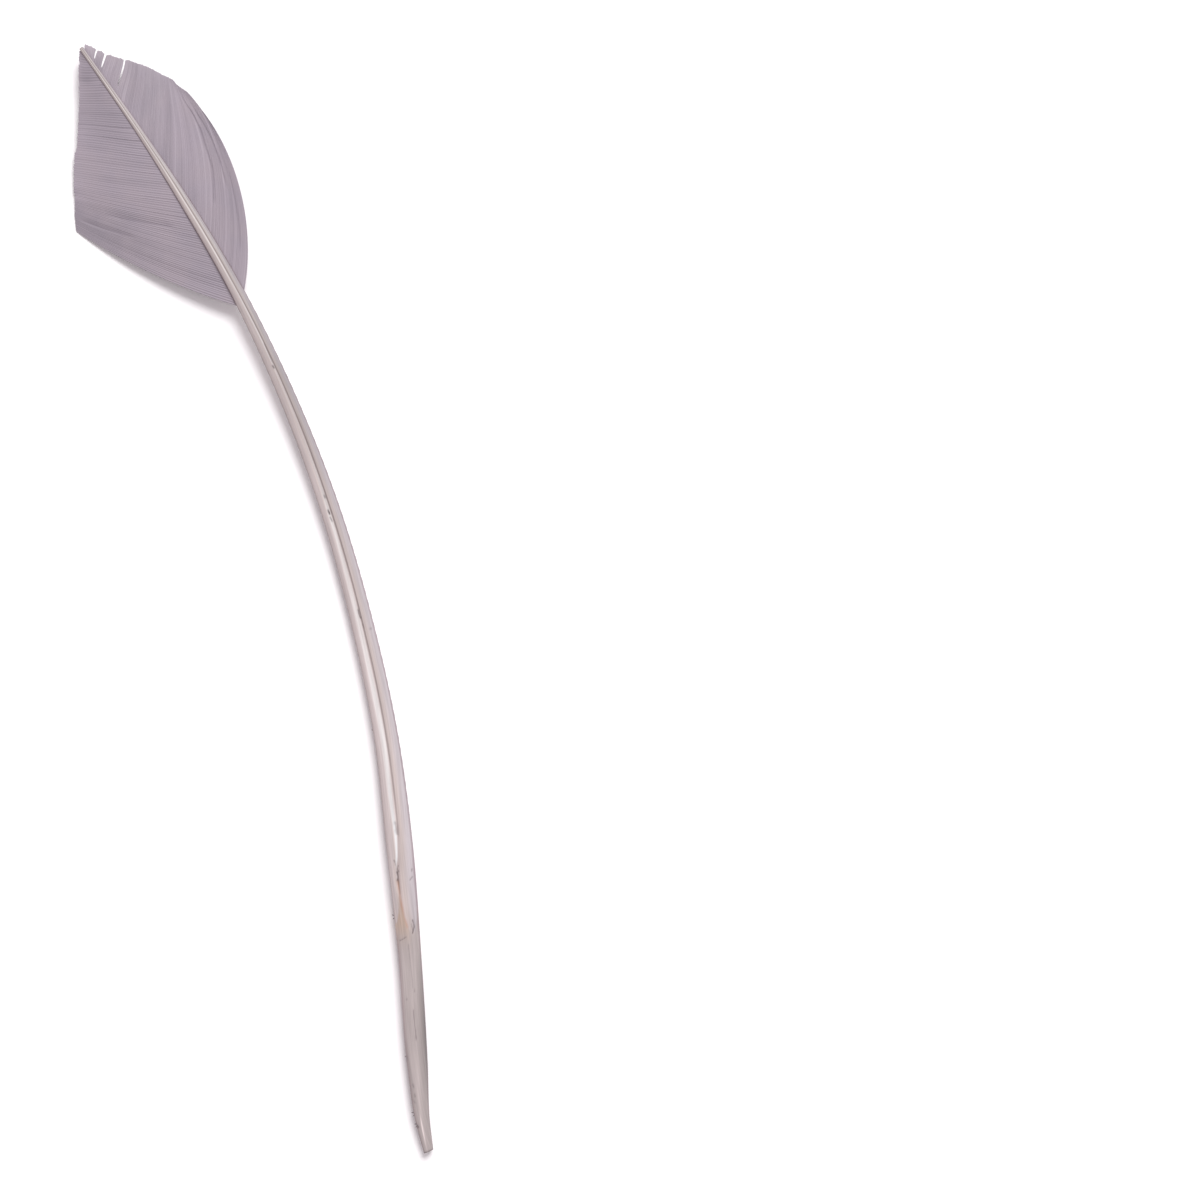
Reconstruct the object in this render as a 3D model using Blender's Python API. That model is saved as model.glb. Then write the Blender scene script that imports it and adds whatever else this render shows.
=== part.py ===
"""A trimmed wing feather of a turkey, lying ventral side up, as one closed solid.

The quill is a tapering tube swept along a bowed line, with the groove of its ventral
side, the small pit where the calamus ends and a hollow cut end. Each vane is a thin
sheet whose rows are locks of barbs that leave the shaft and stop at the scissor cut.
The shaft's underside lies flat on the table as far as the bend, rises under the vane,
and the lower corner of the left vane droops back to the table.

The outline is laid out in a working frame that has its zero at the cut end of the
quill and its Y axis along the straight line to the tip. The finished solid is moved so
that the origin is under the middle of its box. Units are metres, +Z is up, and +Y runs
to the tip.
"""

import math

import bmesh
import bpy
import numpy as np

MM = 0.001

# Straight distance from the cut end of the quill to the tip of the vane.
CHORD = 305 * MM

# Middle of the feather's box in the working frame.
MIDDLE_X = 6.5 * MM
MIDDLE_Y = 152.7 * MM

# The quill: distance from the cut end, sideways bow, width and depth, in millimetres.
QUILL_SECTIONS = (
    (0, 0.0, 2.6, 2.4),
    (8, 0.9, 3.8, 3.5),
    (23, 4.1, 5.5, 5.0),
    (51, 10.8, 6.1, 5.5),
    (80, 17.0, 7.1, 5.9),
    (108, 22.1, 6.4, 5.4),
    (138, 25.0, 5.9, 5.0),
    (168, 26.0, 5.3, 4.5),
    (199, 24.4, 4.5, 3.9),
    (232, 19.9, 3.6, 3.2),
    (259, 13.8, 2.8, 2.5),
    (277, 8.8, 1.9, 1.8),
    (305, 0.0, 1.1, 1.1),
)
QUILL_RINGS = 62
RING_SIDES = 22
RING_SQUARENESS = 2.5

# Where the underside leaves the table, where it stops rising, and how far it rises.
RISE_STARTS = 132 * MM
RISE_ENDS = 285 * MM
RISE = 5.5 * MM
# The cut end is lifted by its taper over this length.
END_TAPER = 30 * MM
END_LIFT = 0.9 * MM

# Ventral groove, from the end of the calamus to the tip, as shares of the section.
GROOVE_STARTS = 76 * MM
GROOVE_FULL = 96 * MM
GROOVE_OFFSET = 0.12
GROOVE_WIDTH = 0.20
GROOVE_DEPTH = 0.14

# Pit of the superior umbilicus at the lower end of the groove.
PIT_Y = 73 * MM
PIT_LENGTH = 5 * MM
PIT_DEPTH = 0.12

# Recess of the hollow cut end.
BORE_SHARE = 0.62
BORE_DEPTH = 4 * MM

# Each vane is a family of barbs between a few that were measured, from the lowest to
# the topmost. A row holds where the barb leaves the shaft, where it ends (x, y, z), and
# the directions in which it leaves and ends, in degrees outwards from the Y axis.
LEFT_BARBS = (
    (227.0, -16.4, 260.3, 0.3, 56, 39),
    (238.8, -15.4, 263.9, 0.6, 58, 48),
    (247.0, -14.4, 266.8, 1.0, 61, 54),
    (260.4, -12.4, 273.0, 1.8, 66, 61),
    (270.0, -9.9, 279.8, 2.5, 69, 66),
    (277.0, -7.8, 284.4, 3.0, 71, 69),
    (289.5, -4.8, 292.7, 4.2, 73, 72),
    (303.6, -0.8, 304.6, 5.6, 74, 73),
)
RIGHT_BARBS = (
    (229.5, 23.7, 283.9, 3.2, 30, -26),
    (238.5, 22.9, 286.2, 3.3, 23, -25),
    (245.5, 21.4, 288.0, 3.5, 23, -22),
    (256.0, 20.3, 290.1, 3.9, 20, -6),
    (268.0, 18.7, 291.8, 4.3, 19, 9),
    (278.0, 15.3, 295.1, 4.7, 20, 17),
    (290.6, 9.8, 299.2, 5.2, 27, 24),
    (297.6, 5.4, 302.1, 5.6, 33, 31),
    (300.8, 3.4, 304.0, 5.7, 35, 33),
    (303.9, 1.2, 305.6, 5.9, 40, 38),
)
LOCKS = 36
LOCK_STEPS = 9
LOCK_RELIEF = 0.12 * MM
VANE_THICKNESS = 0.5 * MM
EDGE_THICKNESS = 0.34 * MM
# The vane joins the shaft's flank this share of its depth above the underside.
VANE_SEAT = 0.42
# Its root lies inside the shaft, this share of the width out from the middle line.
ROOT_INSET = 0.14
DROOP_POWER = 1.4

# Splits between the barbs at the top of the right vane: where the split's barb leaves
# the shaft, the share of its length that is left, and half the split's width.
RIGHT_SPLITS = ((300.8, 0.42, 0.25), (297.6, 0.35, 0.8), (290.6, 0.2, 0.3))

# Folds that follow the outer barbs of the right vane: place and depth.
RIGHT_FOLDS = ((233.5, 0.35), (238.5, 0.45), (245.5, 0.5))
FOLD_WIDTH = 1.8 * MM

QUILL_COLOUR = "D2C8C4"
VANE_COLOUR = "A99EA9"


def linear_colour(hex_colour):
    """The linear RGBA value of an sRGB colour written as six hex digits."""
    channels = [int(hex_colour[i : i + 2], 16) / 255 for i in (0, 2, 4)]
    return [c / 12.92 if c <= 0.04045 else ((c + 0.055) / 1.055) ** 2.4 for c in channels] + [1.0]


def material(name, hex_colour, roughness):
    """A Principled material of one colour."""
    made = bpy.data.materials.new(name)
    made.use_nodes = True
    shader = made.node_tree.nodes["Principled BSDF"]
    shader.inputs["Base Color"].default_value = linear_colour(hex_colour)
    shader.inputs["Roughness"].default_value = roughness
    shader.inputs["Metallic"].default_value = 0.0
    return made


class Table:
    """Rows of measured values, read anywhere between them along a smooth curve."""

    def __init__(self, rows, unit=MM):
        rows = np.array(rows, float)
        self.stations = rows[:, 0] * unit
        self.values = rows[:, 1:]
        self.slopes = np.gradient(self.values, self.stations, axis=0)

    def at(self, station):
        """The row's values at a station, by cubic Hermite interpolation."""
        last = len(self.stations) - 2
        i = min(max(int(np.searchsorted(self.stations, station)) - 1, 0), last)
        step = self.stations[i + 1] - self.stations[i]
        t = (station - self.stations[i]) / step
        return (
            (2 * t**3 - 3 * t**2 + 1) * self.values[i]
            + (t**3 - 2 * t**2 + t) * step * self.slopes[i]
            + (3 * t**2 - 2 * t**3) * self.values[i + 1]
            + (t**3 - t**2) * step * self.slopes[i + 1]
        )


QUILL = Table(QUILL_SECTIONS)


def smooth_step(t):
    """Zero below 0, one above 1, and a smooth rise between."""
    t = min(max(t, 0.0), 1.0)
    return t * t * (3 - 2 * t)


def underside(y):
    """Height of the quill's lowest line above the table."""
    rise = RISE * smooth_step((y - RISE_STARTS) / (RISE_ENDS - RISE_STARTS))
    taper = END_LIFT * smooth_step(1 - y / END_TAPER)
    return rise + taper


def bow(y):
    """Sideways place of the quill's middle line."""
    return QUILL.at(y)[0] * MM


def heading(y):
    """Unit vector along the quill's middle line, seen from above."""
    small = 0.5 * MM
    ahead = min(y + small, CHORD)
    behind = max(y - small, 0.0)
    across = bow(ahead) - bow(behind)
    length = math.hypot(across, ahead - behind)
    return across / length, (ahead - behind) / length


def ring_points(y, share=1.0, push=0.0):
    """One section of the quill, as points that run round from its lowest flat.

    A share under 1 shrinks the section about its middle, and push moves it along.
    """
    _, width, depth = QUILL.at(y) * MM
    half_width, half_depth = share * width / 2, share * depth / 2
    middle_z = underside(y) + depth / 2
    along_x, along_y = heading(y)
    groove = smooth_step((y - GROOVE_STARTS) / (GROOVE_FULL - GROOVE_STARTS))
    pit = math.exp(-(((y - PIT_Y) / PIT_LENGTH) ** 2))
    points = []
    for side in range(RING_SIDES):
        angle = 2 * math.pi * (side + 0.5) / RING_SIDES - math.pi / 2
        cos, sin = math.cos(angle), math.sin(angle)
        across = math.copysign(abs(cos) ** (2 / RING_SQUARENESS), cos)
        up = math.copysign(abs(sin) ** (2 / RING_SQUARENESS), sin)
        if side in (0, RING_SIDES - 1):
            up = -1.0
        if up > 0 and share == 1.0:
            dent = math.exp(-(((across - GROOVE_OFFSET) / GROOVE_WIDTH) ** 2))
            up -= dent * (GROOVE_DEPTH * groove + PIT_DEPTH * pit) * 2
        points.append(
            (
                bow(y) + across * half_width * along_y + push * along_x,
                y - across * half_width * along_x + push * along_y,
                middle_z + up * half_depth,
            )
        )
    return points


def quill_mesh():
    """The swept tube of the shaft, closed at the tip and recessed at the cut end."""
    mesh = bmesh.new()
    stations = [CHORD * i / (QUILL_RINGS - 1) for i in range(QUILL_RINGS)]
    rings = [[mesh.verts.new(p) for p in ring_points(y)] for y in stations]
    rim = [mesh.verts.new(p) for p in ring_points(0.0, BORE_SHARE)]
    floor = [mesh.verts.new(p) for p in ring_points(0.0, BORE_SHARE * 0.9, BORE_DEPTH)]
    for lower, upper in zip([floor, rim] + rings[:-1], [rim] + rings):
        for i in range(RING_SIDES):
            j = (i + 1) % RING_SIDES
            mesh.faces.new((lower[i], lower[j], upper[j], upper[i]))
    mesh.faces.new(floor)
    mesh.faces.new(list(reversed(rings[-1])))
    bmesh.ops.recalc_face_normals(mesh, faces=mesh.faces)
    return mesh


class Vane:
    """One side's sheet of barbs. side is -1 for the left vane and 1 for the right."""

    def __init__(self, side, barbs, splits=(), folds=()):
        self.side = side
        self.barbs = Table(barbs)
        self.splits = splits
        self.folds = folds
        self.lowest = barbs[0][0] * MM
        self.topmost = barbs[-1][0] * MM

    def barb_point(self, leaves, share):
        """The middle of the sheet on the barb that leaves the shaft there.

        Share runs from 0 at the shaft to 1 at the barb's cut end.
        """
        end_x, end_y, end_z, start_angle, end_angle = self.barbs.at(leaves)
        _, width, depth = QUILL.at(leaves) * MM
        start = np.array([bow(leaves) + self.side * ROOT_INSET * width, leaves])
        end = np.array([end_x, end_y]) * MM
        reach = np.linalg.norm(end - start) / 3
        out = self.side * math.radians(start_angle)
        home = self.side * math.radians(end_angle)
        first = start + reach * np.array([math.sin(out), math.cos(out)])
        second = end - reach * np.array([math.sin(home), math.cos(home)])
        rest = 1 - share
        x, y = (
            rest**3 * start
            + 3 * rest**2 * share * first
            + 3 * rest * share**2 * second
            + share**3 * end
        )
        seat = underside(leaves) + VANE_SEAT * depth
        z = seat + (end_z * MM - seat) * share**DROOP_POWER
        for place, fold_depth in self.folds:
            nearness = math.exp(-(((leaves - place * MM) / FOLD_WIDTH) ** 2))
            z -= fold_depth * MM * nearness * math.sin(math.pi * share) ** 2
        return x, y, z

    def rows(self):
        """The furrows and crests of the locks in turn, as (place, share of the barb).

        A split is a furrow that stops short, with the crests beside it drawn close.
        """
        last = 2 * LOCKS
        rows = [[self.lowest + (self.topmost - self.lowest) * i / last, 1.0] for i in range(last + 1)]
        for place, left_over, half_width in self.splits:
            middle = min(range(2, last, 2), key=lambda i: abs(rows[i][0] - place * MM))
            rows[middle] = [place * MM, left_over]
            rows[middle - 1][0] = (place - half_width) * MM
            rows[middle + 1][0] = (place + half_width) * MM
        return rows

    def mesh(self):
        """The closed sheet: a grid of rows above, the same below, and walls round it."""
        mesh = bmesh.new()
        above, below = [], []
        for row, (leaves, end) in enumerate(self.rows()):
            crest = 1 if row % 2 else -1
            top_row, low_row = [], []
            for step in range(LOCK_STEPS + 1):
                share = step / LOCK_STEPS
                x, y, z = self.barb_point(leaves, share * end)
                relief = crest * LOCK_RELIEF * math.sin(math.pi * min(share * 1.2, 1) / 2)
                half = (VANE_THICKNESS + (EDGE_THICKNESS - VANE_THICKNESS) * share) / 2
                top_row.append(mesh.verts.new((x, y, z + half + relief)))
                low_row.append(mesh.verts.new((x, y, max(z - half + relief / 2, 0.0))))
            above.append(top_row)
            below.append(low_row)
        for sheet in (above, below):
            for lower, upper in zip(sheet, sheet[1:]):
                for i in range(LOCK_STEPS):
                    mesh.faces.new((lower[i], lower[i + 1], upper[i + 1], upper[i]))
        border_above = self.border(above)
        border_below = self.border(below)
        count = len(border_above)
        for i in range(count):
            j = (i + 1) % count
            mesh.faces.new((border_above[i], border_above[j], border_below[j], border_below[i]))
        bmesh.ops.recalc_face_normals(mesh, faces=mesh.faces)
        return mesh

    @staticmethod
    def border(sheet):
        """The vertices round the edge of a grid, in order."""
        return (
            [row[0] for row in sheet]
            + sheet[-1][1:]
            + [row[-1] for row in reversed(sheet[:-1])]
            + list(reversed(sheet[0][1:-1]))
        )


def add_object(name, mesh, materials):
    """A new object from a bmesh, in the box's own frame, with its materials."""
    for vert in mesh.verts:
        vert.co.x -= MIDDLE_X
        vert.co.y -= MIDDLE_Y
    data = bpy.data.meshes.new(name)
    mesh.to_mesh(data)
    mesh.free()
    for each in materials:
        data.materials.append(each)
    made = bpy.data.objects.new(name, data)
    bpy.context.scene.collection.objects.link(made)
    return made


def fuse(body, piece):
    """Joins a helper piece to the body, and leaves the helper as a wire outline."""
    join = body.modifiers.new("join " + piece.name, "BOOLEAN")
    join.operation = "UNION"
    join.solver = "EXACT"
    join.material_mode = "TRANSFER"
    join.object = piece
    piece.hide_render = True
    piece.display_type = "WIRE"


def main():
    for old in list(bpy.data.objects):
        bpy.data.objects.remove(old)
    keratin = material("quill keratin", QUILL_COLOUR, 0.45)
    dyed = material("dyed vane", VANE_COLOUR, 0.8)
    feather = add_object("feather", quill_mesh(), [keratin, dyed])
    feather.data.shade_smooth()
    feather.data.set_sharp_from_angle(angle=math.radians(40))
    left = Vane(-1, LEFT_BARBS)
    right = Vane(1, RIGHT_BARBS, RIGHT_SPLITS, RIGHT_FOLDS)
    fuse(feather, add_object("left vane outline", left.mesh(), [dyed]))
    fuse(feather, add_object("right vane outline", right.mesh(), [dyed]))


if __name__ == "__main__":
    main()
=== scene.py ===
"""The looks of a trimmed turkey feather that lies ventral side up on a pale table.

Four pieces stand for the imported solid: the shaft with its groove, its pit and its hollow
cut end, the left and the right vane with every barb as a ridge of its sheet, and the few
flakes of dried sheath that cling to the shaft's left edge.

Shapes are laid out in a working frame in millimetres, with the zero at the cut end of
the shaft and Y along the straight line to the tip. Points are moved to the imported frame,
in metres, as a mesh is made.
"""

import logging
import math
from dataclasses import dataclass
from enum import Enum

import bpy
import numpy as np
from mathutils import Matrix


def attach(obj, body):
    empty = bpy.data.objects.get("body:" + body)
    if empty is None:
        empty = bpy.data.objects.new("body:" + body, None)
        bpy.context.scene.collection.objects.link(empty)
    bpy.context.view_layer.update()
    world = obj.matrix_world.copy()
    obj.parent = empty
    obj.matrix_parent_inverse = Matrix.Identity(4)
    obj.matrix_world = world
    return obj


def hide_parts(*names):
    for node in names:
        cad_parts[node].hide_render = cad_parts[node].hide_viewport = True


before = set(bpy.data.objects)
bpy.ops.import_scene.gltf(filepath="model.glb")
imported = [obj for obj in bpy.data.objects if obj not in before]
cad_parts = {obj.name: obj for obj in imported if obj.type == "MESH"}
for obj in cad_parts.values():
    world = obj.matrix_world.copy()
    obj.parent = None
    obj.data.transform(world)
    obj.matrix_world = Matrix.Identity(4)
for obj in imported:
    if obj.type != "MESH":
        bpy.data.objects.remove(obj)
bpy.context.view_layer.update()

LOG = logging.getLogger("feather")

MM = 0.001
# The middle of the feather's box in the working frame.
MIDDLE = np.array([6.5, 152.7, 0.0])
CHORD = 305.0
BODY = "root"
NODE = "feather"

# Sockets of a Mix node that mixes colours.
MIX_FACTOR = 0
MIX_FIRST = 6
MIX_SECOND = 7
MIX_RESULT = 2

# Random hills are summed over this many times their width.
NOISE_REACH = 3

# The lines that make one barb of a vane: the web before it, a foot of its ramus, the
# crest and the other foot.
WEB, FOOT, CREST = 0, 1, 2
BARB_LINES = (WEB, FOOT, CREST, FOOT)

Rows = tuple[tuple[float, ...], ...]
Pair = tuple[float, float]


class Side(Enum):
    """Which side of the shaft a vane grows from, seen from above with the tip away."""

    LEFT = -1
    RIGHT = 1


def smooth_step(t: np.ndarray) -> np.ndarray:
    """Zero below 0, one above 1, and a smooth rise between."""
    t = np.clip(t, 0.0, 1.0)
    return t * t * (3 - 2 * t)


def hill(offset: np.ndarray) -> np.ndarray:
    """A rounded hill of height one at zero that has all but gone at two."""
    return np.exp(-(offset**2))


def smooth_noise(rng: np.random.Generator, shape: tuple[int, int], blur: Pair) -> np.ndarray:
    """Random hills and hollows of about unit height.

    Args:
        rng: the source of the random numbers.
        shape: rows and columns of the field.
        blur: how many rows and columns a hill spans.

    Returns:
        The field, with mean 0 and spread 1.
    """
    reach = [int(NOISE_REACH * width) + 1 for width in blur]
    field = rng.standard_normal([size + 2 * edge for size, edge in zip(shape, reach)])
    for axis, (width, edge) in enumerate(zip(blur, reach)):
        kernel = hill(np.arange(-edge, edge + 1) / (width * math.sqrt(2)))
        field = np.apply_along_axis(np.convolve, axis, field, kernel, mode="valid")
    return (field - field.mean()) / field.std()


@dataclass(frozen=True)
class SmoothTable:
    """Rows of measured values that can be read anywhere between their stations.

    The first value of a row is its station.
    """

    rows: Rows

    def at(self, station: np.ndarray) -> list[np.ndarray]:
        """The values at some stations, by cubic Hermite interpolation.

        Args:
            station: where to read the table.

        Returns:
            One array for each column after the first, shaped as station is.
        """
        table = np.array(self.rows, float)
        stations = table[:, 0]
        row = np.clip(np.searchsorted(stations, station) - 1, 0, len(stations) - 2)
        step = stations[row + 1] - stations[row]
        t = (station - stations[row]) / step
        read = []
        for column in table.T[1:]:
            slopes = np.gradient(column, stations)
            read.append(
                (2 * t**3 - 3 * t**2 + 1) * column[row]
                + (t**3 - 2 * t**2 + t) * step * slopes[row]
                + (3 * t**2 - 2 * t**3) * column[row + 1]
                + (t**3 - t**2) * step * slopes[row + 1]
            )
        return read


@dataclass(frozen=True)
class ShaftLine:
    """The course and the section of the shaft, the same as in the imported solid.

    A section's row holds its distance from the cut end, the sideways bow, the width and
    the depth.
    """

    sections: SmoothTable = SmoothTable(
        (
            (0, 0.0, 2.6, 2.4),
            (8, 0.9, 3.8, 3.5),
            (23, 4.1, 5.5, 5.0),
            (51, 10.8, 6.1, 5.5),
            (80, 17.0, 7.1, 5.9),
            (108, 22.1, 6.4, 5.4),
            (138, 25.0, 5.9, 5.0),
            (168, 26.0, 5.3, 4.5),
            (199, 24.4, 4.5, 3.9),
            (232, 19.9, 3.6, 3.2),
            (259, 13.8, 2.8, 2.5),
            (277, 8.8, 1.9, 1.8),
            (305, 0.0, 1.1, 1.1),
        )
    )
    rise_starts: float = 132.0
    rise_ends: float = 285.0
    rise: float = 5.5
    end_taper: float = 30.0
    end_lift: float = 0.9
    # The direction is read this far ahead of a point and behind it.
    look: float = 0.5

    def underside(self, y: np.ndarray) -> np.ndarray:
        """Height of the shaft's lowest line above the table."""
        risen = (y - self.rise_starts) / (self.rise_ends - self.rise_starts)
        return self.rise * smooth_step(risen) + self.end_lift * smooth_step(1 - y / self.end_taper)

    def heading(self, y: np.ndarray) -> tuple[np.ndarray, np.ndarray]:
        """The direction of the middle line, seen from above.

        Args:
            y: distances from the cut end.

        Returns:
            The X and the Y part of the unit vector.
        """
        ahead = np.clip(y + self.look, 0.0, CHORD)
        behind = np.clip(y - self.look, 0.0, CHORD)
        sideways = self.sections.at(ahead)[0] - self.sections.at(behind)[0]
        length = np.hypot(sideways, ahead - behind)
        return sideways / length, (ahead - behind) / length


LINE = ShaftLine()


def make_mesh(
    name: str,
    points: np.ndarray,
    faces: list[list[int]],
    values: dict[str, np.ndarray],
    crisp: float,
) -> bpy.types.Object:
    """A piece of the feather from points in the working frame.

    Args:
        name: the piece's name.
        points: one row of x, y and z a vertex, in millimetres.
        faces: vertex numbers round each face.
        values: named numbers that the piece's material reads, one a vertex.
        crisp: edges that bend more than this many degrees are shaded sharp.

    Returns:
        The new object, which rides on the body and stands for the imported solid.
    """
    mesh = bpy.data.meshes.new(name)
    mesh.from_pydata(((points - MIDDLE) * MM).tolist(), [], faces)
    for key, numbers in values.items():
        mesh.attributes.new(key, "FLOAT", "POINT").data.foreach_set("value", numbers.ravel())
    mesh.shade_smooth()
    mesh.set_sharp_from_angle(angle=math.radians(crisp))
    piece = bpy.data.objects.new(name, mesh)
    bpy.context.scene.collection.objects.link(piece)
    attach(piece, BODY)
    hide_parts(NODE)
    return piece


def report(piece: bpy.types.Object) -> None:
    """Writes a piece's name and its number of triangles to the log."""
    corners = np.empty(len(piece.data.polygons), np.int32)
    piece.data.polygons.foreach_get("loop_total", corners)
    LOG.info("%s: %d triangles", piece.name, (corners - 2).sum())


def linear_colour(hex_colour: str) -> tuple[float, float, float, float]:
    """The linear RGBA value of an sRGB colour written as six hex digits, by the sRGB curve."""
    channels = [int(hex_colour[i : i + 2], 16) / 255 for i in (0, 2, 4)]
    linear = [c / 12.92 if c <= 0.04045 else ((c + 0.055) / 1.055) ** 2.4 for c in channels]
    return (linear[0], linear[1], linear[2], 1.0)


def add_node(
    tree: bpy.types.NodeTree,
    kind: str,
    settings: dict[str, object],
    links: dict[str | int, object],
) -> bpy.types.Node:
    """Adds a node to a material or world.

    Args:
        tree: the node tree that it goes in.
        kind: the node's type.
        settings: values of the node's own properties.
        links: by input, the socket that feeds it or the value that it keeps.

    Returns:
        The new node.
    """
    node = tree.nodes.new(kind)
    for key, value in settings.items():
        setattr(node, key, value)
    for key, value in links.items():
        if isinstance(value, bpy.types.NodeSocket):
            tree.links.new(value, node.inputs[key])
        else:
            node.inputs[key].default_value = value
    return node


def new_material(
    name: str, settings: dict[str, object]
) -> tuple[bpy.types.Material, bpy.types.Node]:
    """Makes a material from the constant settings of its shader.

    Args:
        name: what the material is and how its surface was made.
        settings: values for the shader's own sockets, by name.

    Returns:
        The new material and its shader.
    """
    made = bpy.data.materials.new(name)
    made.use_nodes = True
    shader = made.node_tree.nodes["Principled BSDF"]
    for key, value in settings.items():
        shader.inputs[key].default_value = value
    return made, shader


def covered(
    tree: bpy.types.NodeTree, colour: object, layers: list[tuple[bpy.types.NodeSocket, object]]
) -> bpy.types.NodeSocket:
    """Lays colours over one another.

    Args:
        tree: the material's node tree.
        colour: the lowest colour, a value or a socket.
        layers: from the lowest up, how far each covers those below it, and its colour.

    Returns:
        The colour that shows.
    """
    for factor, over in layers:
        mix = add_node(
            tree,
            "ShaderNodeMix",
            {"data_type": "RGBA"},
            {MIX_FACTOR: factor, MIX_FIRST: colour, MIX_SECOND: over},
        )
        colour = mix.outputs[MIX_RESULT]
    return colour


@dataclass(frozen=True)
class DyedKeratin:
    """Quill keratin, grown, stripped and dyed.

    It is satin and slightly translucent: pale and milky where pith backs it, greyer and
    yellower over the hollow calamus, with a mauve line along both flanks where the dye
    settled in the scars of the stripped barbs.
    """

    # Across the shaft, from its left flank (-1) through the groove (0) to its right (1).
    bands: tuple[tuple[float, str], ...] = (
        (-1.0, "7F7172"),
        (-0.93, "A39594"),
        (-0.80, "BCB1AF"),
        (-0.45, "BDB3B1"),
        (-0.30, "BBB0AC"),
        (-0.05, "B8AFAD"),
        (0.0, "B2A7A4"),
        (0.07, "B1A6A3"),
        (0.30, "ADA29E"),
        (0.65, "ACA5A7"),
        (0.85, "AFA9AC"),
        (0.94, "93868B"),
        (1.0, "75656B"),
    )
    # A painted highlight on the groove's floor, where its slope faces the light.
    channel: str = "DEE0E0"
    calamus: str = "A9A09E"
    # Painted shade: the calamus gets darker towards both flanks.
    calamus_flank_shade: str = "887879"
    flank_starts: float = 0.72
    tan: str = "B39F90"
    rust: str = "AE856E"
    scuff: str = "5D5355"
    # The dark line where the vanes join: partly a reddish-brown colour, partly painted shade.
    seam_and_shade: str = "7F6966"
    # Painted shade in the hollow of the cut end; the skin at the cut's rim is darker too.
    bore_shade_and_rim: str = "3E3436"
    roughness: float = 0.42
    ior: float = 1.54
    # Real fibres are a few hundredths of a millimetre wide. They are drawn coarser, so
    # that the grain shows in the render.
    fibre_pitch: float = 0.35
    fibre_length: float = 14.0
    fibre_height: float = 0.03
    fibre_bump: float = 0.25
    # Scale, detail and roughness of the grain's noise and of the broad clouds'.
    grain_noise: tuple[float, float, float] = (1.0, 3.0, 0.6)
    cloud_noise: tuple[float, float, float] = (0.35, 2.0, 0.5)
    # The part of a noise's range that is used, and what it does to the light.
    noise_span: Pair = (0.3, 0.7)
    grain_light: Pair = (0.86, 1.1)
    cloud_light: Pair = (0.93, 1.05)
    # The numbers that it reads from the mesh.
    reads: tuple[str, ...] = (
        "band",
        "along",
        "around",
        "wash",
        "channel",
        "pith",
        "tan",
        "rust",
        "scuff",
        "seam_and_shade",
        "bore_shade_and_rim",
    )

    def fibres(
        self, tree: bpy.types.NodeTree, read: dict[str, bpy.types.NodeSocket]
    ) -> list[bpy.types.NodeSocket]:
        """The grain and the clouds, drawn out along the shaft as keratin fibres run.

        Args:
            tree: the material's node tree.
            read: the numbers read from the mesh, by name.

        Returns:
            The noise of the grain and of the clouds.
        """
        cells = []
        for key, size in (("around", self.fibre_pitch), ("along", self.fibre_length)):
            cell = add_node(
                tree, "ShaderNodeMath", {"operation": "DIVIDE"}, {0: read[key], 1: size}
            )
            cells.append(cell.outputs[0])
        place = add_node(tree, "ShaderNodeCombineXYZ", {}, {"X": cells[0], "Y": cells[1]})
        noises = []
        for scale, detail, roughness in (self.grain_noise, self.cloud_noise):
            noise = add_node(
                tree,
                "ShaderNodeTexNoise",
                {},
                {
                    "Vector": place.outputs[0],
                    "Scale": scale,
                    "Detail": detail,
                    "Roughness": roughness,
                },
            )
            noises.append(noise.outputs["Fac"])
        return noises

    def stained(
        self, tree: bpy.types.NodeTree, read: dict[str, bpy.types.NodeSocket]
    ) -> bpy.types.NodeSocket:
        """The colour before its grain.

        The horn is plain over the hollow and banded over pith, and the marks cover it. Some marks
        are painted light: the highlight on the groove's floor, and the shade in the hollow and
        along the seams where the vanes join.

        Args:
            tree: the material's node tree.
            read: the numbers read from the mesh, by name.

        Returns:
            The colour.
        """
        place = add_node(
            tree,
            "ShaderNodeMapRange",
            {},
            {"Value": read["band"], "From Min": -1.0, "From Max": 1.0},
        )
        ramp = add_node(tree, "ShaderNodeValToRGB", {}, {"Fac": place.outputs[0]})
        stops = ramp.color_ramp.elements
        while len(stops) < len(self.bands):
            stops.new(0.5)
        for stop, (across, band) in zip(stops, self.bands):
            stop.position = (across + 1) / 2
            stop.color = linear_colour(band)

        off_middle = add_node(tree, "ShaderNodeMath", {"operation": "ABSOLUTE"}, {0: read["band"]})
        # The calamus's painted flank shade.
        flank = add_node(
            tree,
            "ShaderNodeMapRange",
            {"interpolation_type": "SMOOTHSTEP"},
            {"Value": off_middle.outputs[0], "From Min": self.flank_starts, "From Max": 1.0},
        )
        horn = [
            (flank.outputs[0], linear_colour(self.calamus_flank_shade)),
            (read["tan"], linear_colour(self.tan)),
            (read["pith"], ramp.outputs["Color"]),
        ]
        # The wash also carries the painted highlight near the cut end.
        washed = add_node(
            tree,
            "ShaderNodeVectorMath",
            {"operation": "SCALE"},
            {0: covered(tree, linear_colour(self.calamus), horn), "Scale": read["wash"]},
        )
        marks = [
            (read["channel"], linear_colour(self.channel)),
            (read["rust"], linear_colour(self.rust)),
            (read["seam_and_shade"], linear_colour(self.seam_and_shade)),
            (read["scuff"], linear_colour(self.scuff)),
            (read["bore_shade_and_rim"], linear_colour(self.bore_shade_and_rim)),
        ]
        return covered(tree, washed.outputs[0], marks)

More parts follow.
